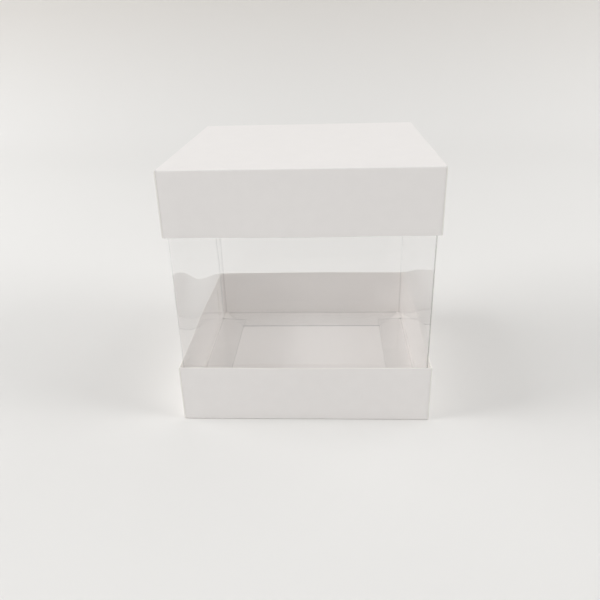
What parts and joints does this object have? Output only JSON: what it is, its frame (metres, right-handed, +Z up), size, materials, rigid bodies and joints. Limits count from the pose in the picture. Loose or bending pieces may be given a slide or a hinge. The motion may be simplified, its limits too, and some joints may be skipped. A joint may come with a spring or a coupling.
{
  "type": "favor box",
  "caption": "Square favor box: a shallow white card tray, a clear film sleeve with in-folded flaps standing in it, and a shallow white card lid that lifts off.",
  "frame": {"origin": "middle of the tray's underside", "axes": "+Z up through the lid, -Y the front, +X to the right seen from the front; the sleeve's glue lap is at the back left"},
  "size_m": [0.08, 0.08, 0.0823],
  "materials": {
    "white_card": "smooth matt-coated white carton board",
    "clear_film": "clear glossy rigid film"
  },
  "bodies": {
    "tray": {"tray_floor": "white_card", "tray_front_wall": "white_card", "tray_back_wall": "white_card", "tray_left_wall": "white_card", "tray_right_wall": "white_card", "tray_front_left_tab": "white_card", "tray_front_right_tab": "white_card", "tray_back_left_tab": "white_card", "tray_back_right_tab": "white_card"},
    "sleeve": {"sleeve_front_panel": "clear_film", "sleeve_back_panel": "clear_film", "sleeve_left_panel": "clear_film", "sleeve_right_panel": "clear_film", "sleeve_glue_lap": "clear_film", "sleeve_bottom_front_flap": "clear_film", "sleeve_bottom_back_flap": "clear_film", "sleeve_bottom_left_flap": "clear_film", "sleeve_bottom_right_flap": "clear_film", "sleeve_top_front_flap": "clear_film", "sleeve_top_back_flap": "clear_film", "sleeve_top_left_flap": "clear_film", "sleeve_top_right_flap": "clear_film"},
    "lid": {"lid_top": "white_card", "lid_front_wall": "white_card", "lid_back_wall": "white_card", "lid_left_wall": "white_card", "lid_right_wall": "white_card", "lid_front_left_tab": "white_card", "lid_front_right_tab": "white_card", "lid_back_left_tab": "white_card", "lid_back_right_tab": "white_card"}
  },
  "joints": [
    {"name": "sleeve_lift", "type": "slide", "parent": "tray", "child": "sleeve", "axis": [0, 0, 1], "range_m": [0, 0.06]},
    {"name": "lid_lift", "type": "slide", "parent": "sleeve", "child": "lid", "axis": [0, 0, 1], "range_m": [0, 0.1]}
  ]
}
